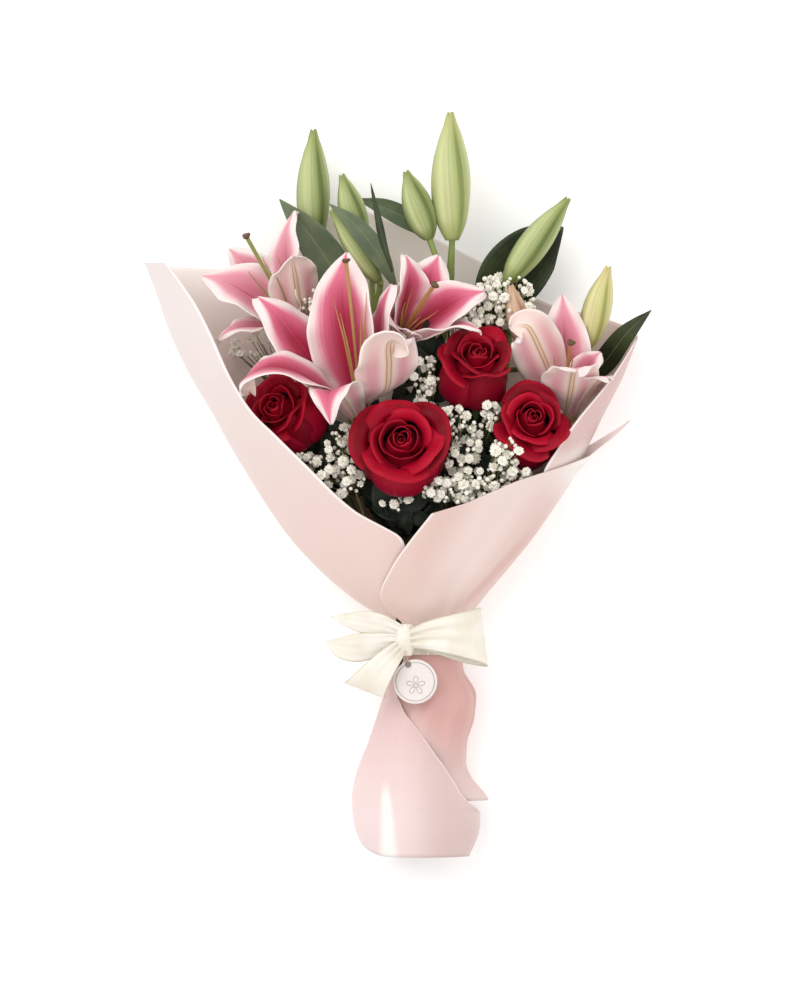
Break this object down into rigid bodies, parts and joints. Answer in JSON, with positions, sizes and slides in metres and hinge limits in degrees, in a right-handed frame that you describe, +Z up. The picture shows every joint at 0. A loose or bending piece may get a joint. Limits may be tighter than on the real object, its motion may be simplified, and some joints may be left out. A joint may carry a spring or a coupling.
{
  "type": "mixed flower bouquet",
  "caption": "Hand bouquet of pink lilies, red roses and white filler in pale pink paper, tied with a white ribbon bow and a round tag; lies on its back.",
  "frame": {"origin": "middle of the bounding box in X and Y, at the height of the surface the bouquet lies on", "axes": "+Y from the cut stem ends to the flower heads, +X to the right as seen from above with the heads at the top, +Z up from the surface towards the viewer"},
  "size_m": [0.3551, 0.5201, 0.1397],
  "materials": {
    "paper": "smooth pale pink wrapping paper",
    "satin_ribbon": "satin woven",
    "card": "smooth card",
    "string": "twisted thread",
    "binding_tape": "waxed floral tape",
    "lily_petal": null,
    "lily_centre": null,
    "lily_stem_and_buds": null,
    "rose_petal": null,
    "rose_stem": null,
    "leaf": null,
    "gypsophila": null,
    "greenery": null
  },
  "bodies": {
    "root": {"greenery_1": "greenery", "greenery_2": "greenery", "gypsophila_1": "gypsophila", "gypsophila_2": "gypsophila", "gypsophila_3": "gypsophila", "gypsophila_4": "gypsophila", "leaf_behind": "leaf", "leaf_broad_left": "leaf", "leaf_broad_right": "leaf", "leaf_far_right": "leaf", "leaf_narrow": "leaf", "leaf_over_bud": "leaf", "lily_1_centre": "lily_centre", "lily_1_stem": "lily_stem_and_buds", "lily_1_tepal_back": "lily_petal", "lily_1_tepal_front_left": "lily_petal", "lily_1_tepal_left_high": "lily_petal", "lily_1_tepal_left_low": "lily_petal", "lily_1_tepal_right_back": "lily_petal", "lily_1_tepal_right_front": "lily_petal", "lily_2_centre": "lily_centre", "lily_2_stem": "lily_stem_and_buds", "lily_2_tepal_back": "lily_petal", "lily_2_tepal_front": "lily_petal", "lily_2_tepal_left_back": "lily_petal", "lily_2_tepal_left_front": "lily_petal", "lily_2_tepal_right_back": "lily_petal", "lily_2_tepal_right_front": "lily_petal", "lily_3_centre": "lily_centre", "lily_3_stem": "lily_stem_and_buds", "lily_3_tepal_back": "lily_petal", "lily_3_tepal_front": "lily_petal", "lily_3_tepal_left_back": "lily_petal", "lily_3_tepal_left_front": "lily_petal", "lily_3_tepal_right_back": "lily_petal", "lily_3_tepal_right_front": "lily_petal", "lily_4_centre": "lily_centre", "lily_4_stem": "lily_stem_and_buds", "lily_4_tepal_back": "lily_petal", "lily_4_tepal_front": "lily_petal", "lily_4_tepal_left_back": "lily_petal", "lily_4_tepal_left_front": "lily_petal", "lily_4_tepal_right_back": "lily_petal", "lily_4_tepal_right_front": "lily_petal", "ribbon_band": "satin_ribbon", "ribbon_bow": "satin_ribbon", "rose_1_bloom": "rose_petal", "rose_1_stem": "rose_stem", "rose_2_bloom": "rose_petal", "rose_2_stem": "rose_stem", "rose_3_bloom": "rose_petal", "rose_3_stem": "rose_stem", "rose_4_bloom": "rose_petal", "rose_4_stem": "rose_stem", "stem_binding": "binding_tape", "tag_disc": "card", "tag_string": "string", "wrap_back_sheet": "paper", "wrap_front_sheet": "paper"}
  },
  "joints": []
}
